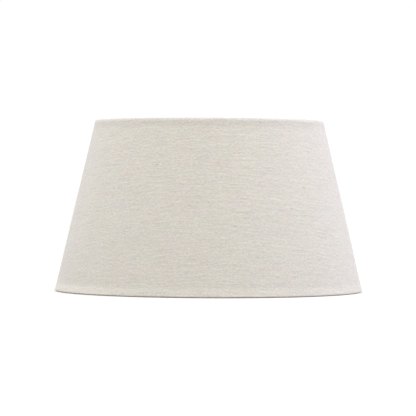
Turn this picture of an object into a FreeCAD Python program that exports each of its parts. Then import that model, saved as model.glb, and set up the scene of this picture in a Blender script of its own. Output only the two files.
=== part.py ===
"""Tapered linen lamp shade on two wire rings, with a three-arm fitter and a plastic reducer.

Millimetres, +Z up. The origin is the centre of the circle that the bottom rim stands on.
The wall is described by two lengths: s, measured up the slope from the centre of the bottom
roll, and d, measured outwards at right angles to the slope from the line between the two
roll centres. The cloth's outer face lies at d = ROLL.
"""

import FreeCAD
import Part
import math
import os

# Overall size, over the cloth
BOTTOM_DIAMETER = 400.0
TOP_DIAMETER = 298.0
HEIGHT = 222.0

# Sheet materials and wire
LINEN = 0.5
BACKING = 0.4
RING_WIRE = 3.5
SPOKE_WIRE = 3.2
LAYER_GAP = 0.03

# Turned hems: the cloth goes round each ring and is glued down on the inside
HEM_FLAT = 5.5
HEM_LIFT_ANGLE = 60.0
HEM_BEND = 1.0

# Side seam, at the back (+Y)
SEAM_LAP = 14.0
SEAM_ROOT = 2.0
SEAM_LAYERS = 2
TAPE = 0.12
TAPE_WIDTH = 10.5
BACKING_LAP = 10.0
BACKING_LAP_END_GAP = 2.0

# Fitter: a washer that a large lampholder passes through, hung on three bent wires
SPOKE_COUNT = 3
FIRST_SPOKE_ANGLE = 30.0
FITTER_TOP = HEIGHT - 30.0
FITTER_THICKNESS = 2.0
FITTER_OUTER = 60.0
FITTER_BORE = 42.0
FITTER_EDGE = 0.4
SPOKE_LEVEL_RUN = 32.0
SPOKE_SLOPE = 40.0
SPOKE_BEND = 9.0
SLIT_CLEARANCE = 0.5
PAD_WIDTH = 5.2
PAD_THICKNESS = 1.8
PAD_LENGTH = 5.0
PAD_NECK = 4.0
PAD_EDGE = 0.6
WELD_DIMPLE = 0.3
WELD_BALL = 4.0

# Reducer: narrows the washer to a small lampholder, and drops in from above
REDUCER_FLANGE = 50.0
REDUCER_FLANGE_THICKNESS = 2.0
REDUCER_SKIRT = 41.6
REDUCER_BORE = 29.0
REDUCER_WALL = 1.6
REDUCER_DEPTH = 5.5
REDUCER_BEAD = 0.6
REDUCER_CHAMFER = 0.4
REDUCER_SEAT_GAP = 0.05
REDUCER_RIBS = 6
REDUCER_RIB_WIDTH = 1.2
REDUCER_RIB_SHORT = 1.0

# Worked-out sizes
ROLL = (RING_WIRE + BACKING + 2 * LINEN + 4 * LAYER_GAP) / 2
BACKING_OUT = ROLL - LINEN - LAYER_GAP
BACKING_IN = BACKING_OUT - BACKING
RING_OFFSET = BACKING_IN - LAYER_GAP - RING_WIRE / 2
ROLL_MIDDLE = ROLL - LINEN / 2
HEM_MIDDLE = BACKING_IN - LAYER_GAP - LINEN / 2
HEM_LIFT = math.radians(HEM_LIFT_ANGLE)
HEM_RISE = HEM_MIDDLE + (ROLL_MIDDLE + HEM_BEND) * math.cos(HEM_LIFT) - HEM_BEND
HEM_LIFT_RUN = HEM_RISE / math.sin(HEM_LIFT)
HEM_CURVES = (ROLL_MIDDLE + HEM_BEND) * math.sin(HEM_LIFT) + HEM_LIFT_RUN * math.cos(HEM_LIFT)
HEM_REACH = HEM_CURVES + HEM_FLAT

AXIS = FreeCAD.Vector(0, 0, 1)
INWARD = FreeCAD.Vector(-1, 0, 0)
SIDEWAYS = FreeCAD.Vector(0, 1, 0)
ORIGIN = FreeCAD.Vector(0, 0, 0)
FULL_TURN = 360.0


def section_point(r, z):
    return FreeCAD.Vector(r, 0, z)


BOTTOM_CENTRE = section_point(BOTTOM_DIAMETER / 2 - ROLL, ROLL)
TOP_CENTRE = section_point(TOP_DIAMETER / 2 - ROLL, HEIGHT - ROLL)
SLOPE_LENGTH = (TOP_CENTRE - BOTTOM_CENTRE).Length
UP = (TOP_CENTRE - BOTTOM_CENTRE) / SLOPE_LENGTH
OUT = FreeCAD.Vector(UP.z, 0, -UP.x)
UP_ANGLE = math.degrees(math.atan2(UP.z, UP.x))


def wall_point(s, d):
    """The point of the section at length s up the slope and distance d out from it."""
    return BOTTOM_CENTRE + UP * s + OUT * d


def heading_vector(angle):
    return FreeCAD.Vector(math.cos(math.radians(angle)), 0, math.sin(math.radians(angle)))


def revolved(wire, angle=FULL_TURN):
    return Part.Face(wire).revolve(ORIGIN, AXIS, angle)


def polygon(points):
    return Part.makePolygon(points + [points[0]])


def strip_wire(start, heading, moves, thickness):
    """The outline of a strip of even thickness that follows runs and turns from start.

    A move is ("run", length) or ("turn", radius, angle), where a positive angle turns left.
    """
    half = thickness / 2
    place = start
    left_edges, right_edges = [], []
    for move in moves:
        left = heading_vector(heading + 90)
        if move[0] == "run":
            after = place + heading_vector(heading) * move[1]
            for side, edges in ((half, left_edges), (-half, right_edges)):
                edges.append(Part.LineSegment(place + left * side, after + left * side).toShape())
        else:
            radius, angle = move[1], move[2]
            centre = place + left * math.copysign(radius, angle)
            spokes = []
            for share in (0.0, 0.5, 1.0):
                outward = heading_vector(heading + 90 + angle * share) * -math.copysign(1, angle)
                spokes.append(outward)
            for side, edges in ((half, left_edges), (-half, right_edges)):
                reach = radius - math.copysign(side, side * angle)
                edges.append(Part.Arc(*[centre + spoke * reach for spoke in spokes]).toShape())
            after = centre + spokes[-1] * radius
            heading += angle
        place = after
    start_cap = Part.LineSegment(
        right_edges[0].Vertexes[0].Point, left_edges[0].Vertexes[0].Point
    ).toShape()
    end_cap = Part.LineSegment(
        left_edges[-1].Vertexes[-1].Point, right_edges[-1].Vertexes[-1].Point
    ).toShape()
    return Part.Wire(Part.__sortEdges__(left_edges + [end_cap] + right_edges + [start_cap]))


def back_strip(shape, x_low, x_high):
    """What a straight cut leaves of shape between two X planes at the back."""
    box = Part.makeBox(
        x_high - x_low, BOTTOM_DIAMETER, 2 * HEIGHT, FreeCAD.Vector(x_low, 0, -HEIGHT / 2)
    )
    return shape.common(box)


def wall_shell(d_in, d_out, s_low, s_high):
    corners = [(s_low, d_in), (s_low, d_out), (s_high, d_out), (s_high, d_in)]
    return revolved(polygon([wall_point(s, d) for s, d in corners]))


def ring_torus(s):
    centre = wall_point(s, RING_OFFSET)
    return Part.makeTorus(centre.x, RING_WIRE / 2, FreeCAD.Vector(0, 0, centre.z))


def cloth_section():
    """The cloth's outline, from the raw edge of the top hem over both rings to the bottom one."""
    hem = [("run", HEM_FLAT), ("turn", HEM_BEND, HEM_LIFT_ANGLE), ("run", HEM_LIFT_RUN)]
    roll = [("turn", ROLL_MIDDLE, -180 - HEM_LIFT_ANGLE)]
    moves = hem + roll + [("run", SLOPE_LENGTH)] + roll + hem[::-1]
    return strip_wire(wall_point(SLOPE_LENGTH - HEM_REACH, HEM_MIDDLE), UP_ANGLE, moves, LINEN)


def spoke_angles():
    return [FIRST_SPOKE_ANGLE + i * FULL_TURN / SPOKE_COUNT for i in range(SPOKE_COUNT)]


def turned(shape, angle):
    copy = shape.copy()
    copy.rotate(ORIGIN, AXIS, angle)
    return copy


def linen_cover():
    """The cloth in one piece, with its folded lap at the back and a slit at each spoke."""
    cloth = revolved(cloth_section())
    fold = SEAM_LAYERS * LINEN
    low = -SEAM_LAP / 2
    lap = back_strip(wall_shell(ROLL + TAPE, ROLL + TAPE + fold, 0, SLOPE_LENGTH), low, -low)
    root_shell = wall_shell(ROLL - LINEN / 2, ROLL + TAPE + fold / 2, 0, SLOPE_LENGTH)
    cloth = cloth.fuse([lap, back_strip(root_shell, low, low + SEAM_ROOT)])
    ring = wall_point(SLOPE_LENGTH, RING_OFFSET)
    slit = Part.makeCylinder(SPOKE_WIRE / 2 + SLIT_CLEARANCE, 2 * ROLL, ring, INWARD)
    return cloth.cut([turned(slit, angle) for angle in spoke_angles()])


def backing_sheet():
    """The stiff white sheet inside the cloth, with its glued lap between the two hems."""
    sheet = wall_shell(BACKING_IN, BACKING_OUT, 0, SLOPE_LENGTH)
    low = HEM_REACH + BACKING_LAP_END_GAP
    shell = wall_shell(BACKING_IN - BACKING, BACKING_OUT, low, SLOPE_LENGTH - low)
    return sheet.fuse(back_strip(shell, -BACKING_LAP / 2, BACKING_LAP / 2))


def seam_tape():
    """Double-sided tape between the lap and the cloth that it covers."""
    low = -SEAM_LAP / 2 + SEAM_ROOT + LAYER_GAP
    shell = wall_shell(ROLL + LAYER_GAP, ROLL + TAPE - LAYER_GAP, 0, SLOPE_LENGTH)
    return back_strip(shell, low, low + TAPE_WIDTH)


def spoke_path():
    """The wire's centreline in the section plane, from inside the top ring to the flat pad."""
    ring = wall_point(SLOPE_LENGTH, RING_OFFSET)
    slope = math.radians(SPOKE_SLOPE)
    low_z = FITTER_TOP - FITTER_THICKNESS - PAD_THICKNESS / 2
    bend_reach = SPOKE_BEND * math.tan(slope / 2)
    upper_corner = section_point(ring.x - SPOKE_LEVEL_RUN, ring.z)
    drop = ring.z - low_z
    lower_corner = section_point(upper_corner.x - drop / math.tan(slope), low_z)
    down = (lower_corner - upper_corner).normalize()
    end = section_point(FITTER_OUTER / 2 + PAD_NECK, low_z)

    def bend(corner, before, after):
        first, last = corner - before * bend_reach, corner + after * bend_reach
        to_centre = (after - before).normalize()
        centre = corner + to_centre * (SPOKE_BEND / math.cos(slope / 2))
        middle = centre - to_centre * SPOKE_BEND
        return first, middle, last

    upper, lower = bend(upper_corner, INWARD, down), bend(lower_corner, down, INWARD)
    start = ring + INWARD * RING_WIRE / 4
    edges = [
        Part.LineSegment(start, upper[0]),
        Part.Arc(*upper),
        Part.LineSegment(upper[2], lower[0]),
        Part.Arc(*lower),
        Part.LineSegment(lower[2], end),
    ]
    return Part.Wire([edge.toShape() for edge in edges]), start, end


def pad_outline(centre):
    """The flattened wire's section: a rectangle square to X with rounded corners."""
    arcs = []
    for quarter in range(4):
        directions = []
        for share in (0.0, 0.5, 1.0):
            angle = math.radians(90 * (quarter + share))
            directions.append(SIDEWAYS * math.cos(angle) + AXIS * math.sin(angle))
        to_side = math.copysign(PAD_WIDTH / 2 - PAD_EDGE, directions[1].y)
        to_top = math.copysign(PAD_THICKNESS / 2 - PAD_EDGE, directions[1].z)
        middle = centre + SIDEWAYS * to_side + AXIS * to_top
        arcs.append(Part.Arc(*[middle + way * PAD_EDGE for way in directions]).toShape())
    edges = []
    for arc, following in zip(arcs, arcs[1:] + arcs[:1]):
        edges.append(arc)
        run = Part.LineSegment(arc.Vertexes[-1].Point, following.Vertexes[0].Point)
        edges.append(run.toShape())
    return Part.Wire(edges)


def spoke():
    """One wire of the fitter: round from the ring to a neck, then pressed flat for its weld."""
    path, start, end = spoke_path()
    outer_end = Part.Wire(Part.makeCircle(SPOKE_WIRE / 2, start, INWARD))
    wire = path.makePipeShell([outer_end], True, False)
    neck_end = end + INWARD * PAD_NECK
    neck_start = Part.Wire(Part.makeCircle(SPOKE_WIRE / 2, end, INWARD))
    flat = pad_outline(neck_end)
    neck = Part.makeLoft([neck_start, flat], True)
    pad = Part.Face(flat).extrude(INWARD * PAD_LENGTH)
    return wire.fuse([neck, pad]).cut(ring_torus(SLOPE_LENGTH)).removeSplitter()


def fitter_ring():
    """The pressed steel washer, with a shallow weld mark above each pad."""
    low, high = FITTER_TOP - FITTER_THICKNESS, FITTER_TOP
    inner, outer = FITTER_BORE / 2, FITTER_OUTER / 2
    washer = Part.makeCylinder(outer, high - low, FreeCAD.Vector(0, 0, low))
    washer = washer.cut(Part.makeCylinder(inner, high - low, FreeCAD.Vector(0, 0, low)))
    rims = [edge for edge in washer.Edges if isinstance(edge.Curve, Part.Circle)]
    washer = washer.makeFillet(FITTER_EDGE, rims)
    mark_radius = (REDUCER_FLANGE / 2 + outer) / 2
    ball = Part.makeSphere(
        WELD_BALL, FreeCAD.Vector(mark_radius, 0, high + WELD_BALL - WELD_DIMPLE)
    )
    return washer.cut([turned(ball, angle) for angle in spoke_angles()])


def reducer_ring():
    """The moulded adapter: a flange on the washer, a skirt in its bore and a ribbed hub."""
    seat = FITTER_TOP + REDUCER_SEAT_GAP
    top = seat + REDUCER_FLANGE_THICKNESS
    foot = FITTER_TOP - REDUCER_DEPTH
    bore, hub = REDUCER_BORE / 2, REDUCER_BORE / 2 + REDUCER_WALL
    skirt_out, skirt_in = REDUCER_SKIRT / 2, REDUCER_SKIRT / 2 - REDUCER_WALL
    edge, web, bead = REDUCER_CHAMFER, top - REDUCER_WALL, top + REDUCER_BEAD
    flange = REDUCER_FLANGE / 2
    outline = [
        (bore, foot + edge),
        (bore + edge, foot),
        (hub, foot),
        (hub, web),
        (skirt_in, web),
        (skirt_in, foot),
        (skirt_out - edge, foot),
        (skirt_out, foot + edge),
        (skirt_out, seat),
        (flange - edge, seat),
        (flange, seat + edge),
        (flange, top - edge),
        (flange - edge, top),
        (hub + REDUCER_BEAD, top),
        (hub, bead),
        (bore + edge, bead),
        (bore, bead - edge),
    ]
    body = revolved(polygon([section_point(r, z) for r, z in outline]))
    overlap = REDUCER_WALL / 2
    rib_foot = foot + REDUCER_RIB_SHORT
    rib = Part.makeBox(
        skirt_in - hub + 2 * overlap,
        REDUCER_RIB_WIDTH,
        web + overlap - rib_foot,
        FreeCAD.Vector(hub - overlap, -REDUCER_RIB_WIDTH / 2, rib_foot),
    )
    ribs = [turned(rib, i * FULL_TURN / REDUCER_RIBS) for i in range(REDUCER_RIBS)]
    return body.fuse(ribs).removeSplitter()


def build():
    parts = {
        "linen_cover": linen_cover(),
        "backing_sheet": backing_sheet(),
        "seam_tape": seam_tape(),
        "top_ring": ring_torus(SLOPE_LENGTH),
        "bottom_ring": ring_torus(0),
        "fitter_ring": fitter_ring(),
        "reducer_ring": reducer_ring(),
    }
    one_spoke = spoke()
    for number, angle in enumerate(spoke_angles(), start=1):
        parts[f"spoke_{number}"] = turned(one_spoke, angle)
    return parts


os.makedirs("parts", exist_ok=True)
for name, shape in build().items():
    solids = shape.Solids
    if len(solids) != 1 or not shape.isValid():
        raise SystemExit(f"{name}: {len(solids)} solids, valid {shape.isValid()}")
    solids[0].exportStep(f"parts/{name}.step")
    print(f"{name}: {solids[0].Volume / 1000:.2f} cm3, {len(solids[0].Faces)} faces")
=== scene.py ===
"""Looks of a tapered linen lamp shade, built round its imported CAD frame. Metres, +Z up.

The cloth is one mesh that follows the frame's section: up the turned-in top hem, over the top
ring, down the wall, round the bottom ring and up the turned-in bottom hem. Its UV map, in
metres, is the flat piece of linen that it was cut from, so its threads run as they do on a cone.
Points of the section are complex numbers, radius + 1j * height. Round the shade, a turn of 0 is
the seam, at the back (+Y), and it grows towards +X, so that half a turn is the front (-Y).
"""

import cmath
import math

import bpy
import numpy as np
from mathutils import Matrix, Quaternion, Vector


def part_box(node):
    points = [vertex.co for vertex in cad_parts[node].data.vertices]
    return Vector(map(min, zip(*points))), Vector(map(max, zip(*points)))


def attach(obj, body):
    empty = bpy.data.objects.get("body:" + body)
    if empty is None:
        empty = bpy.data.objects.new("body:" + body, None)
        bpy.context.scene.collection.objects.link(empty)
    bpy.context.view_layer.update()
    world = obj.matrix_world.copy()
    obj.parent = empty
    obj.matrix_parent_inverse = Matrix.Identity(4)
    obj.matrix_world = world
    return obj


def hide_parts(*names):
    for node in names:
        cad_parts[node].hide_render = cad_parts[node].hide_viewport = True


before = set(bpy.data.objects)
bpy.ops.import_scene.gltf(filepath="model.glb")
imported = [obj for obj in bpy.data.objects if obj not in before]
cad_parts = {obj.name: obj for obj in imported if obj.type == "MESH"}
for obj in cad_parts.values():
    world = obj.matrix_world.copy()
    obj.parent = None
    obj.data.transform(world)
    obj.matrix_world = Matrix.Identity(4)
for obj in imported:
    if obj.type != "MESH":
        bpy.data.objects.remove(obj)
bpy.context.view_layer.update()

MM = 0.001
TURN = 2 * math.pi

# Camera, a little above half the shade's height, on its plain side. The roll is in degrees.
CAMERA_DISTANCE = 3.028
CAMERA_HEIGHT = 0.1388
CAMERA_LENS = 200.6
CAMERA_AIM = (-0.0012, 0.0, 0.1082)
CAMERA_ROLL = 0.287

# Studio
FLOOR_REACH = 60.0
ROOM_BRIGHTNESS = 1.03

# Stock thicknesses, as in the CAD model
LINEN = 0.5 * MM
BACKING = 0.4 * MM
TAPE = 0.12 * MM
LAYER_GAP = 0.03 * MM

# The cloth's hems and its seam, as in the CAD model
HEM_FLAT = 5.5 * MM
HEM_LIFT = math.radians(60)
HEM_BEND = 1.0 * MM
SEAM_LAP = 14.0 * MM
SEAM_FOLD = 2 * LINEN + TAPE

# Across the seam: the slope onto the lap, where its flat top starts, the fold's round nose in
# degrees, and the first columns of points beside the fold
SEAM_SLOPE_START = -SEAM_LAP / 2 - 6.5 * MM
SEAM_SLOPE_END = -SEAM_LAP / 2 + 1 * MM
SEAM_TOP_START = -SEAM_LAP / 2 + 3 * MM
SEAM_NOSE_ANGLES = (90, -75)
BESIDE_SEAM = (0.04 * MM, 0.9 * MM, 2.5 * MM)

# How much of the lap's height is left where it is pressed round the rolls
SEAM_SHARE_ON_ROLLS = 0.55

# How far hand work leaves the cloth from its ideal shape
PUCKER_SPACING = (11 * MM, 26 * MM)
PUCKER_WIDTH = (1.8 * MM, 3.4 * MM)
PUCKER_HEIGHT = (0.15 * MM, 0.6 * MM)
RAW_EDGE_WAVE = 0.6 * MM
RAW_EDGE_WAVE_COUNTS = range(23, 140, 9)
ROLL_WAVE = 0.16 * MM
ROLL_WAVE_COUNTS = range(9, 60, 5)
ROLL_WAVE_MOST = 1.4
ROLL_WAVE_FADE = 9 * MM

# Seeds of everything random
PUCKER_SEED = 11
RAW_EDGE_SEED = 3
ROLL_SEED = 5
THREAD_SEED = 29

# Slits in the top hem, where the fitter's wires come through
SLIT_RADIUS = 2.1 * MM
SLIT_TOP_WIDTH = 0.5 * MM
SLIT_EDGE_WIDTH = 2.6 * MM
SLIT_SIDES = 24
SLIT_FROM_RING = 0.8 * MM
SLIT_PAST_EDGE = 2 * MM

# Threads that have come loose along each hem's raw edge
LOOSE_THREADS = 44
THREAD_RADIUS = 0.11 * MM
THREAD_LENGTH = (1.2 * MM, 6.0 * MM)
THREAD_DRIFT = 2.2 * MM
THREAD_LIFT = 1.1 * MM
THREAD_ROOT = 0.8 * MM
THREAD_STEPS = 8

# A direction that no loose thread lies along, to set a tube's sides from
TUBE_SIDEWAYS = (0.31, 0.17, 0.94)

# Metal squeezed out beside each fitter wire where it is welded under the washer
PAD_HALF_WIDTH = 2.6 * MM
WELD_INSET = 2.4 * MM
WELD_SIZE = (1.5 * MM, 0.55 * MM, 0.5 * MM)
WELD_UNEVEN = 0.12
WELD_RINGS = 8
WELD_SIDES = 14

# Steps along each stretch of the section, on the shown face and on the hidden one
SHOWN_STEPS = {"flat": 5, "bend": 4, "lift": 2, "roll": 18, "wall": 30}
HIDDEN_STEPS = {"flat": 2, "bend": 2, "lift": 1, "roll": 8, "wall": 4}

# Columns round the shade, and steps across the seam's slope, top and nose
COLUMNS = 700
SEAM_STEPS = {"slope": 8, "top": 4, "nose": 8}

# Faces that meet at more than this many degrees keep a sharp edge between them
CLOTH_SHARP = 48
SMALL_PIECE_SHARP = 60

# Sizes read from the frame
cover_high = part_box("linen_cover")[1]
top_low, top_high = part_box("top_ring")
bottom_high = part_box("bottom_ring")[1]
RING_WIRE = top_high.z - top_low.z
ROLL = (RING_WIRE + BACKING + 2 * LINEN + 4 * LAYER_GAP) / 2
RING_CENTRE = complex(top_high.x - RING_WIRE / 2, (top_high.z + top_low.z) / 2)
BOTTOM_CENTRE = complex(cover_high.x - ROLL, ROLL)
TOP_CENTRE = complex(BOTTOM_CENTRE.real - (bottom_high.x - top_high.x), cover_high.z - ROLL)
SLOPE_LENGTH = abs(TOP_CENTRE - BOTTOM_CENTRE)
UP = (TOP_CENTRE - BOTTOM_CENTRE) / SLOPE_LENGTH
OUT = UP / 1j
TAPER = -UP.real

# Worked-out lengths of the section
ROLL_MIDDLE = ROLL - LINEN / 2
HEM_MIDDLE = ROLL - BACKING - 1.5 * LINEN - 2 * LAYER_GAP
HEM_RISE = HEM_MIDDLE + (ROLL_MIDDLE + HEM_BEND) * math.cos(HEM_LIFT) - HEM_BEND
HEM_LIFT_RUN = HEM_RISE / math.sin(HEM_LIFT)
HEM_CURVES = (ROLL_MIDDLE + HEM_BEND) * math.sin(HEM_LIFT) + HEM_LIFT_RUN * math.cos(HEM_LIFT)
HEM_REACH = HEM_CURVES + HEM_FLAT
HEM_LENGTH = HEM_FLAT + HEM_BEND * HEM_LIFT + HEM_LIFT_RUN
ROLL_TURN = math.pi + HEM_LIFT
ROLL_LENGTH = ROLL_MIDDLE * ROLL_TURN
CLOTH_LENGTH = 2 * (HEM_LENGTH + ROLL_LENGTH) + SLOPE_LENGTH
APEX_TO_TOP = (TOP_CENTRE + OUT * ROLL_MIDDLE).real / TAPER
APEX_TO_BOTTOM = APEX_TO_TOP + SLOPE_LENGTH
APEX_TO_EDGE = APEX_TO_TOP - HEM_LENGTH - ROLL_LENGTH


# ---------------------------------------------------------------- meshes


def make_object(name, points, faces):
    mesh = bpy.data.meshes.new(name)
    mesh.from_pydata(points, [], faces)
    piece = bpy.data.objects.new(name, mesh)
    bpy.context.scene.collection.objects.link(piece)
    return piece


def make_joined(name, parts):
    """One object made of many parts, each a list of points and a list of faces."""
    points, faces = [], []
    for part_points, part_faces in parts:
        start = len(points)
        points.extend(part_points)
        faces.extend([start + corner for corner in face] for face in part_faces)
    return make_object(name, points, faces)


def smooth(piece, sharp_degrees):
    piece.data.shade_smooth()
    piece.data.set_sharp_from_angle(angle=math.radians(sharp_degrees))


def smooth_step(value, low, high):
    share = np.clip((value - low) / (high - low), 0, 1)
    return share * share * (3 - 2 * share)


def ripple(turn, waves, seed):
    """A smooth random wave round the shade, mostly between -1 and 1, with these wave counts."""
    random = np.random.default_rng(seed)
    total = np.zeros_like(turn)
    for count in waves:
        total += np.sin(count * turn + random.uniform(0, TURN)) * random.uniform(0.5, 1)
    return total / math.sqrt(len(waves))


def follow(start, heading, moves):
    """Points, headings and lengths along moves of (length, turn, steps), with left turns positive."""
    points, headings, lengths = [start], [heading], [0.0]
    for length, turn, steps in moves:
        step, bend = length / steps, turn / steps
        chord = step * np.sinc(bend / TURN)
        for _ in range(steps):
            points.append(points[-1] + chord * cmath.exp(1j * (headings[-1] + bend / 2)))
            headings.append(headings[-1] + bend)
            lengths.append(lengths[-1] + step)
    return np.array(points), np.exp(1j * np.array(headings)), np.array(lengths)


def cloth_section(steps):
    """The cloth's middle, from the raw edge of the top hem to that of the bottom hem."""
    hem = [
        (HEM_FLAT, 0.0, steps["flat"]),
        (HEM_BEND * HEM_LIFT, HEM_LIFT, steps["bend"]),
        (HEM_LIFT_RUN, 0.0, steps["lift"]),
    ]
    roll = [(ROLL_LENGTH, -ROLL_TURN, steps["roll"])]
    wall = [(SLOPE_LENGTH, 0.0, steps["wall"])]
    start = TOP_CENTRE - UP * HEM_REACH + OUT * HEM_MIDDLE
    return follow(start, cmath.phase(UP), hem + roll + wall + roll + hem[::-1])


def seam_profile():
    """Across the seam: place in X, height above the cloth, and length along the cloth.

    The cloth slopes up onto its own first edge and ends in a fold with a round nose.
    """
    rows = []
    for across in np.linspace(SEAM_SLOPE_START, SEAM_SLOPE_END, SEAM_STEPS["slope"] + 1):
        height = SEAM_FOLD * smooth_step(across, SEAM_SLOPE_START, SEAM_SLOPE_END)
        rows.append((across, height, across))
    nose_radius = SEAM_FOLD / 2
    nose = SEAM_LAP / 2 - nose_radius
    for across in np.linspace(SEAM_TOP_START, nose, SEAM_STEPS["top"] + 1)[:-1]:
        rows.append((across, SEAM_FOLD, across))
    for angle in np.radians(np.linspace(*SEAM_NOSE_ANGLES, SEAM_STEPS["nose"] + 1)):
        height = nose_radius * (1 + math.sin(angle))
        across = nose + nose_radius * math.cos(angle)
        rows.append((across, height, nose + nose_radius * (math.pi / 2 - angle)))
    return np.array(rows)


def column_turns(radius, last):
    """The turn of every column at each radius of the section.

    The first column is beside the seam's fold, and the seam's own columns come last.
    """
    first = last[-1, 0] + np.array(BESIDE_SEAM)
    from_seam = np.arcsin(first / radius[:, None])
    to_seam = TURN + np.arcsin(last[:, 0] / radius[:, None])
    share = np.linspace(0, 1, COLUMNS + 2)[1:-1]
    between = from_seam[:, -1:] + (to_seam[:, :1] - from_seam[:, -1:]) * share
    return np.hstack([from_seam, between, to_seam])


def puckers(turn, radius):
    """Heights of the small gathers in the bottom hem, which is too long for where it lies."""
    random = np.random.default_rng(PUCKER_SEED)
    total = np.zeros_like(turn)
    place = 0.0
    while place < TURN * radius:
        width = random.uniform(*PUCKER_WIDTH)
        away = (np.mod(turn - place / radius + math.pi, TURN) - math.pi) * radius
        total += random.uniform(*PUCKER_HEIGHT) * np.exp(-((away / width) ** 2) / 2)
        place += random.uniform(*PUCKER_SPACING)
    return total


def seam_share(length, downwards):
    """How much of the lap's height shows: all on the wall, less on the rolls, none underneath."""
    roll_end = HEM_LENGTH + ROLL_LENGTH
    near_end = HEM_LENGTH + ROLL_LENGTH * 0.8
    on_wall = smooth_step(length, near_end, roll_end)
    on_wall *= smooth_step(CLOTH_LENGTH - length, near_end, roll_end)
    share = SEAM_SHARE_ON_ROLLS + (1 - SEAM_SHARE_ON_ROLLS) * on_wall
    return share * (1 - smooth_step(downwards, 0.5, 0.95))


def roll_share(from_raw, downwards):
    """Where the rolls' waves are: round each roll and a little way along the wall, not underneath."""
    roll_end = HEM_LENGTH + ROLL_LENGTH
    share = smooth_step(from_raw, HEM_LENGTH, HEM_LENGTH + 0.3 * ROLL_LENGTH)
    share *= 1 - smooth_step(from_raw, roll_end, roll_end + ROLL_WAVE_FADE)
    return share * (1 - smooth_step(downwards, 0.6, 0.95))


def flat_places(length, radius, turn, last):
    """The same points on the flat cloth, a sector whose middle line is the shade's front."""
    flat_turn = turn.copy()
    flat_turn[:, -len(last):] = TURN + last[:, 2] / radius[:, None]
    flat_angle = (math.pi - flat_turn) * TAPER
    from_apex = (APEX_TO_EDGE + length)[:, None]
    return np.stack([from_apex * np.sin(flat_angle), -from_apex * np.cos(flat_angle)], axis=-1)


def cloth_face(steps, side, last):
    """One face of the cloth: rows of points, and of places on the flat cloth.

    side is 1 for the shown face and -1 for the one against the backing.
    """
    middle, heading, length = cloth_section(steps)
    normal = 1j * heading
    downwards = np.clip(-normal.imag, 0, 1)
    from_raw = np.minimum(length, CLOTH_LENGTH - length)
    in_hem = 1 - smooth_step(from_raw, 0, HEM_LENGTH + 0.1 * ROLL_LENGTH)
    in_bottom_hem = in_hem * (length > CLOTH_LENGTH / 2)
    turn = column_turns(middle.real, last)

    lap = np.zeros(turn.shape[1])
    if side > 0:
        lap[-len(last):] = last[:, 1]
    waves = np.clip(0.5 + 0.5 * ripple(turn, ROLL_WAVE_COUNTS, ROLL_SEED), 0, ROLL_WAVE_MOST)
    off = side * LINEN / 2 + lap * seam_share(length, downwards)[:, None]
    off = off + in_bottom_hem[:, None] * puckers(turn, BOTTOM_CENTRE.real)
    off = off + ROLL_WAVE * roll_share(from_raw, downwards)[:, None] * waves

    ragged = ripple(turn, RAW_EDGE_WAVE_COUNTS, RAW_EDGE_SEED)
    away_from_roll = np.where(length < CLOTH_LENGTH / 2, -1, 1)[:, None]
    along = RAW_EDGE_WAVE * in_hem[:, None] ** 3 * ragged * away_from_roll
    place = middle[:, None] + normal[:, None] * off + heading[:, None] * along
    points = np.stack([place.real * np.sin(turn), place.real * np.cos(turn), place.imag], axis=-1)
    return points, flat_places(length, middle.real, turn, last)


def make_cloth():
    """The linen in one piece: shown face, raw edges and hidden face, closed all round."""
    last = seam_profile()
    shown, shown_flat = cloth_face(SHOWN_STEPS, 1, last)
    hidden, hidden_flat = cloth_face(HIDDEN_STEPS, -1, last)
    points = np.concatenate([shown, hidden[::-1]])
    flat = np.concatenate([shown_flat, hidden_flat[::-1]])
    rows, columns = points.shape[:2]
    index = np.arange(rows * columns).reshape(rows, columns)
    right, below = np.roll(index, -1, 1), np.roll(index, -1, 0)
    corners = np.stack([index, right, np.roll(right, -1, 0), below], axis=-1)
    cloth = make_object("linen_cloth", points.reshape(-1, 3), corners.reshape(-1, 4).tolist())
    layer = cloth.data.uv_layers.new(name="cloth")
    layer.data.foreach_set("uv", flat.reshape(-1, 2)[corners.reshape(-1)].ravel())
    return cloth


def applied(piece):
    """Turns a piece's modifiers into its own mesh."""
    graph = bpy.context.evaluated_depsgraph_get()
    shown = piece.evaluated_get(graph)
    mesh = bpy.data.meshes.new_from_object(shown, preserve_all_data_layers=True, depsgraph=graph)
    piece.modifiers.clear()
    piece.data = mesh


def cut(piece, cutter):
    """Takes the cutter's solids out of the piece and removes the cutter."""
    modifier = piece.modifiers.new("cut", "BOOLEAN")
    modifier.operation = "DIFFERENCE"
    modifier.solver = "EXACT"
    modifier.object = cutter
    bpy.context.view_layer.update()
    applied(piece)
    bpy.data.objects.remove(cutter)


def spoke_turns():
    """The direction of each fitter wire, as an angle from +X."""
    found = []
    for name in sorted(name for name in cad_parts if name.startswith("spoke_")):
        points = np.array([vertex.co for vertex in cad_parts[name].data.vertices])
        found.append(math.atan2(points[:, 1].mean(), points[:, 0].mean()))
    return found


def turned_copies(name, parts):
    """One object with a copy of these parts at each fitter wire. The parts are made for +X."""
    copies = []
    for angle in spoke_turns():
        around = Matrix.Rotation(angle, 3, "Z")
        for points, faces in parts:
            copies.append(([around @ Vector(point) for point in points], faces))
    return make_joined(name, copies)


def ring_faces(rings, sides):
    """Faces that close up rings of points, which run anticlockwise seen from beyond the last."""
    faces = []
    for ring in range(rings - 1):
        for side in range(sides):
            low, following = ring * sides, (side + 1) % sides
            high = low + sides
            faces.append([low + side, low + following, high + following, high + side])
    last = (rings - 1) * sides
    faces.append(list(range(sides))[::-1])
    faces.append(list(range(last, last + sides)))
    return faces


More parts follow.
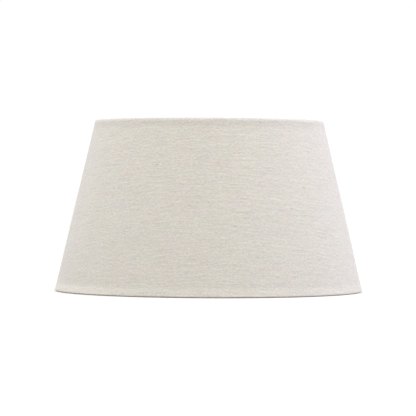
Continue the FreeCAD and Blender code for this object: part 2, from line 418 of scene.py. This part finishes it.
def round_cutter():
    """A rod along each wire, through the hem on the inner side of the top roll."""
    points = []
    for x in (RING_CENTRE.real - 3 * ROLL, RING_CENTRE.real - SLIT_FROM_RING):
        for angle in TURN * np.arange(SLIT_SIDES) / SLIT_SIDES:
            y, z = SLIT_RADIUS * math.cos(angle), SLIT_RADIUS * math.sin(angle)
            points.append((x, y, RING_CENTRE.imag + z))
    return turned_copies("round_cutter", [(points, ring_faces(2, SLIT_SIDES))])


def snip_cutter():
    """A wedge from each round hole to the hem's raw edge, in front of the backing only."""
    outer_face = ROLL - LINEN - LAYER_GAP - BACKING / 2
    stations = [(0.0, SLIT_TOP_WIDTH / 2), (-HEM_REACH - SLIT_PAST_EDGE, SLIT_EDGE_WIDTH / 2)]
    points = []
    for along, half_width in stations:
        for depth in (outer_face, outer_face - 5 * ROLL):
            place = TOP_CENTRE + UP * along + OUT * depth
            points.append((place.real, half_width, place.imag))
            points.append((place.real, -half_width, place.imag))
    faces = [(0, 2, 3, 1), (4, 5, 7, 6), (0, 1, 5, 4), (2, 6, 7, 3), (0, 4, 6, 2), (1, 3, 7, 5)]
    return turned_copies("snip_cutter", [(points, faces)])


def tube(path, radius, sides=6):
    """Points and faces of a closed round tube along a path."""
    path = np.array(path)
    along = np.gradient(path, axis=0)
    along /= np.linalg.norm(along, axis=1)[:, None]
    across = np.cross(along, TUBE_SIDEWAYS)
    across /= np.linalg.norm(across, axis=1)[:, None]
    third = np.cross(along, across)
    angles = TURN * np.arange(sides) / sides
    around = np.cos(angles)[:, None, None] * across + np.sin(angles)[:, None, None] * third
    points = (path + radius * around).transpose(1, 0, 2).reshape(-1, 3)
    return points, ring_faces(len(path), sides)


def thread_path(random, turn, raw_edge, away):
    """Points along one loose thread, which starts in the hem and curls off the backing."""
    length = random.uniform(*THREAD_LENGTH)
    drift = random.uniform(-THREAD_DRIFT, THREAD_DRIFT)
    lift = random.uniform(0, THREAD_LIFT)
    outwards = np.array([math.sin(turn), math.cos(turn), 0])
    sideways = np.array([math.cos(turn), -math.sin(turn), 0])
    path = []
    for share in np.linspace(0, 1, THREAD_STEPS):
        along = share * length - THREAD_ROOT
        place = raw_edge + away * along - OUT * lift * share ** 1.6
        up = np.array([0, 0, place.imag])
        path.append(outwards * place.real + up + sideways * drift * share ** 2)
    return path


def loose_threads():
    """Short threads frayed from both raw edges."""
    random = np.random.default_rng(THREAD_SEED)
    middle = cloth_section(SHOWN_STEPS)[0]
    parts = []
    for raw_edge, away in ((middle[0], -UP), (middle[-1], UP)):
        for turn in random.uniform(0, TURN, LOOSE_THREADS):
            parts.append(tube(thread_path(random, turn, raw_edge, away), THREAD_RADIUS))
    return make_joined("loose_threads", parts)


def bead(centre, phase):
    """Points and faces of a lumpy bead, in rings from its inner end to its outer end."""
    points = []
    for polar in np.linspace(math.pi, 0, WELD_RINGS + 2)[1:-1]:
        for angle in TURN * np.arange(WELD_SIDES) / WELD_SIDES:
            lump = 1 + WELD_UNEVEN * math.sin(3 * angle + 2 * polar + phase)
            aside = math.sin(polar)
            way = (math.cos(polar), aside * math.cos(angle), aside * math.sin(angle))
            points.append([at + lump * size * part for at, size, part in zip(centre, WELD_SIZE, way)])
    return points, ring_faces(WELD_RINGS, WELD_SIDES)


def weld_beads():
    """A bead of squeezed-out metal along each side of each wire's flat end, under the washer."""
    washer_low, washer_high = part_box("fitter_ring")
    parts = []
    for side in (-1, 1):
        centre = (washer_high.x - WELD_INSET, side * PAD_HALF_WIDTH, washer_low.z)
        parts.append(bead(centre, side))
    return turned_copies("weld_beads", parts)


# ---------------------------------------------------------------- materials


class Nodes:
    """Short ways to add nodes to one material. A value may be a number or another node's output."""

    def __init__(self, name):
        self.material = bpy.data.materials.new(name)
        self.material.use_nodes = True
        self.tree = self.material.node_tree
        self.shader = self.tree.nodes["Principled BSDF"]

    def put(self, socket, value):
        if isinstance(value, bpy.types.NodeSocket):
            self.tree.links.new(value, socket)
        else:
            socket.default_value = value

    def add(self, kind, values=(), **settings):
        node = self.tree.nodes.new(kind)
        for name, value in settings.items():
            setattr(node, name, value)
        for key, value in dict(values).items():
            self.put(node.inputs[key], value)
        return node

    def math(self, operation, *values):
        return self.add("ShaderNodeMath", dict(enumerate(values)), operation=operation).outputs[0]

    def sum(self, *values):
        total = values[0]
        for value in values[1:]:
            total = self.math("ADD", total, value)
        return total

    def product(self, *values):
        total = values[0]
        for value in values[1:]:
            total = self.math("MULTIPLY", total, value)
        return total

    def split(self, vector):
        return self.add("ShaderNodeSeparateXYZ", {0: vector}).outputs

    def join(self, x, y, z=0.0):
        return self.add("ShaderNodeCombineXYZ", {0: x, 1: y, 2: z}).outputs[0]

    def noise(self, vector, detail=2.0, roughness=0.5, output="Fac"):
        """Smooth noise from about -1 to 1 whose features are one unit of vector wide.

        The output "Color" is three such noises.
        """
        values = {"Vector": vector, "Scale": 1.0, "Detail": detail, "Roughness": roughness}
        return self.add("ShaderNodeTexNoise", values, normalize=False).outputs[output]

    def patches(self, x, y, width, height, seed=0.0, **settings):
        """Noise whose features are this wide and high. Each seed gives another pattern."""
        place = self.join(self.product(x, 1 / width), self.product(y, 1 / height), seed)
        return self.noise(place, **settings)

    def thread_noise(self, x, index, length, spread, seed, **settings):
        """Noise along threads whose features are this long.

        Neighbours are spread so far apart in the noise that they have nothing in common.
        """
        place = self.join(self.product(x, 1 / length), self.product(index, spread), seed)
        return self.noise(place, **settings)

    def tinted(self, colour, tint, strength):
        """The colour with each channel changed a little by its own noise."""
        values = {0: tint, 1: (strength, strength, strength), 2: (1, 1, 1)}
        factors = self.add("ShaderNodeVectorMath", values, operation="MULTIPLY_ADD").outputs[0]
        values = {0: colour, 1: factors}
        return self.add("ShaderNodeVectorMath", values, operation="MULTIPLY").outputs[0]

    def step(self, value, low, high, below=0.0, above=1.0):
        """Goes smoothly from below to above while value goes from low to high."""
        values = {"Value": value, 1: low, 2: high, 3: below, 4: above}
        return self.add("ShaderNodeMapRange", values, interpolation_type="SMOOTHSTEP").outputs[0]

    def mix(self, share, first, second):
        """A colour between two, the second where share is 1."""
        values = {0: share, 6: first, 7: second}
        return self.add("ShaderNodeMix", values, data_type="RGBA").outputs[2]

    def scaled(self, vector, factor):
        """A place or a colour times a number."""
        values = {0: vector, "Scale": factor}
        return self.add("ShaderNodeVectorMath", values, operation="SCALE").outputs[0]

    def places(self, feature):
        """Places in the row frame, in units of a feature's size in metres."""
        made = self.add("ShaderNodeTexCoord").outputs["Object"]
        return self.scaled(made, 1 / feature)

    def bump(self, height, distance, strength=1.0):
        values = {"Height": height, "Distance": distance, "Strength": strength}
        return self.add("ShaderNodeBump", values).outputs[0]

    def finish(self, **inputs):
        for name, value in inputs.items():
            self.put(self.shader.inputs[name.replace("_", " ")], value)
        return self.material


def paint(piece, material):
    piece.data.materials.clear()
    piece.data.materials.append(material)


# Linen, in millimetres on the flat cloth. The weft is bowed: it rises by WEFT_BOW times the
# square of the distance from its middle, which is 20 mm at 300 mm.
WARP_PITCH = 0.62
WEFT_PITCH = 0.58
WEFT_BOW = 20 / 300 ** 2
LINEN_COLOUR = (0.612, 0.577, 0.512)
HUSK_COLOUR = (0.36, 0.30, 0.22, 1)
# Colour of the painted shade under the bottom roll, where it stands on the floor
UNDERSIDE_SHADE_COLOUR = (0.20, 0.155, 0.085, 1)

# How much the linen's colour drifts from place to place, and from thread to thread
PATCH_TINT = 0.024
THREAD_TINT = 0.018


def thread_counts(nodes, x, y):
    """How many threads each place is across the warp and the weft, which wander a little."""
    sway_x = nodes.product(nodes.patches(x, y, 60, 25), 0.6)
    sway_y = nodes.product(nodes.patches(x, y, 60, 80, 7.3), 0.7)
    bow = nodes.product(x, x, -WEFT_BOW)
    across = nodes.product(nodes.sum(x, sway_x), 1 / WARP_PITCH)
    along = nodes.product(nodes.sum(y, sway_y, bow), 1 / WEFT_PITCH)
    return across, along


def weft_thickness(nodes, x, index):
    """Each weft thread has its own thickness, partly lasting and partly drifting along it."""
    drifting = nodes.thread_noise(x, index, 3.3, 3.73, 1.9, detail=1.0)
    lasting = nodes.thread_noise(x, index, 26, 2.71, 5.1, detail=1.0)
    return nodes.sum(nodes.product(drifting, 0.62), nodes.product(lasting, 0.42))


def weave_relief(nodes, across, along, thickness, slub):
    """Height of a plain weave of round threads, and where its weft is on top."""
    warp_wave = nodes.math("SINE", nodes.product(across, math.pi))
    weft_wave = nodes.math("SINE", nodes.product(along, math.pi))
    crossing = nodes.product(warp_wave, weft_wave, 0.45)
    fatter = nodes.sum(1.0, nodes.product(slub, 0.55), nodes.product(thickness, 0.4))
    weft_round = nodes.product(nodes.math("ABSOLUTE", weft_wave), 0.55)
    warp_round = nodes.product(nodes.math("ABSOLUTE", warp_wave), 0.52)
    weft = nodes.product(nodes.sum(weft_round, crossing), fatter)
    warp = nodes.math("SUBTRACT", warp_round, crossing)
    return nodes.math("MAXIMUM", weft, warp), nodes.math("GREATER_THAN", weft, warp)


def thread_tone(nodes, weft_light, warp_light, weft_on_top):
    """Tone of the threads. Each counts most where it is on top, and less where it isn't."""
    on_top = nodes.add("ShaderNodeMix", {0: weft_on_top, 2: warp_light, 3: weft_light}).outputs[0]
    return nodes.sum(
        nodes.product(on_top, 0.6),
        nodes.product(weft_light, 0.4),
        nodes.product(warp_light, 0.2),
    )


def painted_light_bands(nodes, x, from_apex):
    """Painted light and shade from the top rim to the bottom one.

    The top rim has a painted highlight, and under it a band of painted shade stands for the hem
    and ring stopping light through the cloth. The wall is painted a little darker towards the
    bottom, and a pale band of painted light lies above the bottom rim. The pale one is strongest
    on the side that faces -X.
    """
    top, bottom = APEX_TO_TOP / MM, APEX_TO_BOTTOM / MM
    # Painted highlight on the top of the rim
    rim = nodes.step(from_apex, top - 2.5, top + 3.0, 1.3, 1.0)
    # Painted shade under the rim, where the hem and ring stop light through the cloth
    painted_hem_shade = nodes.step(from_apex, top + 4.5, top + 12.5, 0.915, 1.0)
    # Painted falloff of light: the wall a little darker towards the bottom
    painted_wall_falloff = nodes.step(from_apex, top, bottom, 1.035, 0.99)
    # Painted pale band of light above the bottom rim, strongest on the side that faces -X
    strongest = nodes.product(nodes.step(x, -420, -300), nodes.step(x, -165, -80, 1.0, 0.0))
    pale = nodes.sum(1.082, nodes.product(strongest, 0.10))
    painted_pale_band = nodes.step(from_apex, bottom - 12, bottom - 5, 1.0, pale)
    return nodes.product(rim, painted_hem_shade, painted_wall_falloff, painted_pale_band)


def painted_underside_shade(nodes, from_apex):
    """How far the cloth takes a dark colour where the bottom roll faces down: painted shade where it
    stands on the floor.
    """
    bottom = APEX_TO_BOTTOM / MM
    start = nodes.step(from_apex, bottom + 0.8, bottom + 2.6, 0.0, 0.92)
    return nodes.product(start, nodes.step(from_apex, bottom + 4.5, bottom + 6.5, 1.0, 0.0))


def linen_tint(nodes, x, y, weft_index):
    """The linen's colour, which drifts from place to place and from thread to thread."""
    by_place = nodes.patches(x, y, 22, 13, 21.0, detail=3.0, roughness=0.7, output="Color")
    by_thread = nodes.thread_noise(x, weft_index, 30, 4.1, 3.0, detail=0.0, output="Color")
    return nodes.tinted(nodes.tinted(LINEN_COLOUR, by_place, PATCH_TINT), by_thread, THREAD_TINT)


def husks(nodes, x, y):
    """Where the rare dark flecks are that got caught in the yarn, most small and a few large."""
    place = nodes.join(nodes.product(x, 1 / 11), nodes.product(y, 1 / 5))
    cells = nodes.add("ShaderNodeTexVoronoi", {"Vector": place, "Scale": 1.0}, voronoi_dimensions="2D")
    chance, size, _ = nodes.split(cells.outputs["Color"])
    reach = nodes.sum(0.08, nodes.product(nodes.math("POWER", size, 8.0), 0.16))
    inside = nodes.step(nodes.math("DIVIDE", cells.outputs["Distance"], reach), 0.5, 1.0, 1.0, 0.0)
    return nodes.product(inside, nodes.math("GREATER_THAN", chance, 0.9), 0.6)


def linen_material():
    """Plain-woven natural linen: round threads, uneven weft, slubs, a few husks and a soft nap."""
    nodes = Nodes("linen")
    x_metres, y_metres, _ = nodes.split(nodes.add("ShaderNodeUVMap", uv_map="cloth").outputs[0])
    x, y = nodes.product(x_metres, 1 / MM), nodes.product(y_metres, 1 / MM)
    from_apex = nodes.math("SQRT", nodes.sum(nodes.product(x, x), nodes.product(y, y)))
    across, along = thread_counts(nodes, x, y)
    warp_index, weft_index = nodes.math("FLOOR", across), nodes.math("FLOOR", along)

    # A thick thread stands proud and catches the light, and shades those a few places either side
    own = weft_thickness(nodes, x, weft_index)
    beside = [weft_thickness(nodes, x, nodes.sum(weft_index, places)) for places in (4.0, -4.0)]
    weft_light = nodes.math("SUBTRACT", own, nodes.product(nodes.sum(*beside), 0.19))
    warp_place = nodes.join(nodes.product(warp_index, 3.37), nodes.product(y, 1 / 4), 9.4)
    warp_light = nodes.noise(warp_place, detail=1.0)
    slub = nodes.step(nodes.thread_noise(x, weft_index, 9, 1.93, 14.2, detail=0.0), 0.42, 0.62)
    relief, weft_on_top = weave_relief(nodes, across, along, own, slub)

    # Tone: threads, grain and soft patches, then painted shade in the gaps between threads, and painted
    # light and shade at the rims and hems
    weft_light = nodes.sum(nodes.product(weft_light, 0.36), nodes.product(slub, 0.06))
    threads = thread_tone(nodes, weft_light, nodes.product(warp_light, 0.16), weft_on_top)
    place = nodes.join(x, y)
    grain = nodes.noise(nodes.scaled(place, 1 / 1.3), roughness=0.6)
    soft = nodes.noise(nodes.scaled(place, 1 / 28))
    tone = nodes.sum(1.0, threads, nodes.product(grain, 0.055), nodes.product(soft, 0.012))
    # Painted shade in the gaps between threads, and a painted highlight on their crowns
    thread_gap_shade = nodes.step(relief, 0.10, 0.60, 0.66, 1.07)
    brightness = nodes.product(tone, thread_gap_shade, painted_light_bands(nodes, x, from_apex))

    colour = nodes.scaled(linen_tint(nodes, x, y, weft_index), brightness)
    colour = nodes.mix(husks(nodes, x, y), colour, HUSK_COLOUR)
    # Painted shade under the bottom roll
    colour = nodes.mix(painted_underside_shade(nodes, from_apex), colour, UNDERSIDE_SHADE_COLOUR)
    fuzz = nodes.patches(x, y, 0.16, 0.12)
    return nodes.finish(
        Base_Color=colour,
        Roughness=0.92,
        Normal=nodes.bump(nodes.sum(relief, nodes.product(fuzz, 0.12)), 0.13 * MM, 0.7),
        Specular_IOR_Level=0.18,
        Sheen_Weight=0.40,
        Sheen_Roughness=0.62,
        Sheen_Tint=(0.96, 0.95, 1.0, 1),
    )


def yarn_material():
    """Loose linen yarn, with paler and darker fibres."""
    nodes = Nodes("linen_yarn")
    fibres = nodes.noise(nodes.places(0.25 * MM))
    colour = nodes.mix(nodes.step(fibres, -0.7, 0.7), (0.66, 0.63, 0.56, 1), (0.82, 0.79, 0.72, 1))
    normal = nodes.bump(fibres, 0.04 * MM, 0.8)
    return nodes.finish(Base_Color=colour, Roughness=0.9, Normal=normal, Specular_IOR_Level=0.2)


def stiffener_material():
    """White styrene sheet: eggshell, with a faint grain and cloudy handling marks."""
    nodes = Nodes("stiffener")
    cloudy = nodes.noise(nodes.places(35 * MM), detail=3.0)
    grain = nodes.noise(nodes.places(0.6 * MM))
    colour = nodes.mix(nodes.step(cloudy, -0.8, 0.8), (0.815, 0.81, 0.79, 1), (0.84, 0.838, 0.82, 1))
    roughness = nodes.step(nodes.noise(nodes.places(12 * MM)), -0.8, 0.8, 0.46, 0.6)
    normal = nodes.bump(nodes.sum(grain, nodes.product(cloudy, 2.0)), 0.02 * MM, 0.5)
    return nodes.finish(Base_Color=colour, Roughness=roughness, Normal=normal, Specular_IOR_Level=0.4)


def tape_material():
    """Double-sided film, yellowed a little, with trapped bubbles."""
    nodes = Nodes("tape")
    bubbles = nodes.noise(nodes.places(1.5 * MM), detail=1.0)
    colour = nodes.mix(nodes.step(bubbles, 0.1, 0.5), (0.80, 0.74, 0.60, 1), (0.88, 0.85, 0.76, 1))
    return nodes.finish(Base_Color=colour, Roughness=0.3, Normal=nodes.bump(bubbles, 0.03 * MM))


def powder_coat_material(name, seed):
    """White powder coat: satin, with orange peel, a cloudy tone and a few specks of dust."""
    nodes = Nodes(name)
    place = nodes.add("ShaderNodeVectorMath", {0: nodes.places(1.0), 1: (seed, seed, seed)}).outputs[0]
    peel = nodes.noise(nodes.scaled(place, 1 / (1.1 * MM)))
    cloudy = nodes.noise(nodes.scaled(place, 1 / (20 * MM)))
    dust = nodes.step(nodes.noise(nodes.scaled(place, 1 / (0.8 * MM)), detail=0.0), 0.56, 0.66)
    colour = nodes.mix(nodes.step(cloudy, -0.7, 0.7), (0.70, 0.695, 0.675, 1), (0.76, 0.755, 0.735, 1))
    colour = nodes.mix(nodes.product(dust, 0.45), colour, (0.56, 0.54, 0.50, 1))
    roughness = nodes.step(cloudy, -0.7, 0.7, 0.3, 0.44)
    return nodes.finish(Base_Color=colour, Roughness=roughness, Normal=nodes.bump(peel, 0.04 * MM, 0.6))


def reducer_material():
    """Moulded white plastic with a fine sparked texture and soft flow marks."""
    nodes = Nodes("reducer_plastic")
    sparked = nodes.noise(nodes.places(0.45 * MM), detail=3.0, roughness=0.6)
    flow = nodes.noise(nodes.places(9 * MM))
    colour = nodes.mix(nodes.step(flow, -0.7, 0.7), (0.64, 0.625, 0.585, 1), (0.69, 0.68, 0.645, 1))
    roughness = nodes.step(sparked, -0.6, 0.6, 0.42, 0.6)
    normal = nodes.bump(nodes.sum(sparked, nodes.product(flow, 0.8)), 0.03 * MM, 0.7)
    return nodes.finish(Base_Color=colour, Roughness=roughness, Normal=normal, Specular_IOR_Level=0.45)


def floor_material():
    """Matt white studio paper."""
    nodes = Nodes("studio_paper")
    tone = nodes.noise(nodes.places(400 * MM))
    colour = nodes.mix(nodes.step(tone, -0.8, 0.8), (0.975, 0.975, 0.975, 1), (0.985, 0.985, 0.985, 1))
    return nodes.finish(Base_Color=colour, Roughness=0.95, Specular_IOR_Level=0.1)


# ---------------------------------------------------------------- studio


def make_camera():
    camera = bpy.data.objects.new("camera", bpy.data.cameras.new("camera"))
    camera.data.lens = CAMERA_LENS
    camera.location = (0, -CAMERA_DISTANCE, CAMERA_HEIGHT)
    facing = (Vector(CAMERA_AIM) - camera.location).to_track_quat("-Z", "Y")
    camera.rotation_mode = "QUATERNION"
    camera.rotation_quaternion = facing @ Quaternion((0, 0, 1), math.radians(CAMERA_ROLL))
    bpy.context.scene.collection.objects.link(camera)
    bpy.context.scene.camera = camera


def make_light(name, place, size, watts, colour):
    """A round light that faces the middle of the shade."""
    data = bpy.data.lights.new(name, "AREA")
    data.shape = "DISK"
    data.size = size
    data.energy = watts
    data.color = colour
    light = bpy.data.objects.new(name, data)
    light.location = place
    light.rotation_mode = "QUATERNION"
    middle = Vector((0, 0, cover_high.z / 2))
    light.rotation_quaternion = (middle - Vector(place)).to_track_quat("-Z", "Y")
    light.visible_camera = False
    bpy.context.scene.collection.objects.link(light)


def make_floor():
    reach = FLOOR_REACH
    corners = [(-reach, -reach, 0), (reach, -reach, 0), (reach, reach, 0), (-reach, reach, 0)]
    floor = make_object("studio_floor", corners, [(0, 1, 2, 3)])
    paint(floor, floor_material())


def make_studio():
    """A white room with a soft light overhead and a bluish one at the right."""
    make_floor()
    world = bpy.data.worlds.new("white_room")
    world.use_nodes = True
    background = world.node_tree.nodes["Background"]
    background.inputs["Color"].default_value = (1, 1, 1, 1)
    background.inputs["Strength"].default_value = ROOM_BRIGHTNESS
    bpy.context.scene.world = world
    bpy.context.scene.view_settings.view_transform = "Standard"
    make_light("overhead", place=(0, 0, 0.8), size=2.0, watts=2.2, colour=(1, 1, 1))
    make_light("right_box", place=(2.5, -0.1, 0.9), size=1.2, watts=14.0, colour=(0.69, 0.70, 1))


# ---------------------------------------------------------------- the shade


make_camera()
make_studio()

cloth = make_cloth()
cut(cloth, round_cutter())
cut(cloth, snip_cutter())
smooth(cloth, CLOTH_SHARP)
paint(cloth, linen_material())
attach(cloth, "shade")
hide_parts("linen_cover")

threads = loose_threads()
smooth(threads, SMALL_PIECE_SHARP)
paint(threads, yarn_material())
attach(threads, "shade")

coated_wire = powder_coat_material("coated_wire", 0.0)
beads = weld_beads()
smooth(beads, SMALL_PIECE_SHARP)
paint(beads, coated_wire)
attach(beads, "shade")

finishes = {
    "backing_sheet": stiffener_material(),
    "seam_tape": tape_material(),
    "fitter_ring": powder_coat_material("coated_steel", 3.7),
    "reducer_ring": reducer_material(),
}
for name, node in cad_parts.items():
    if name != "linen_cover":
        paint(node, finishes.get(name, coated_wire))
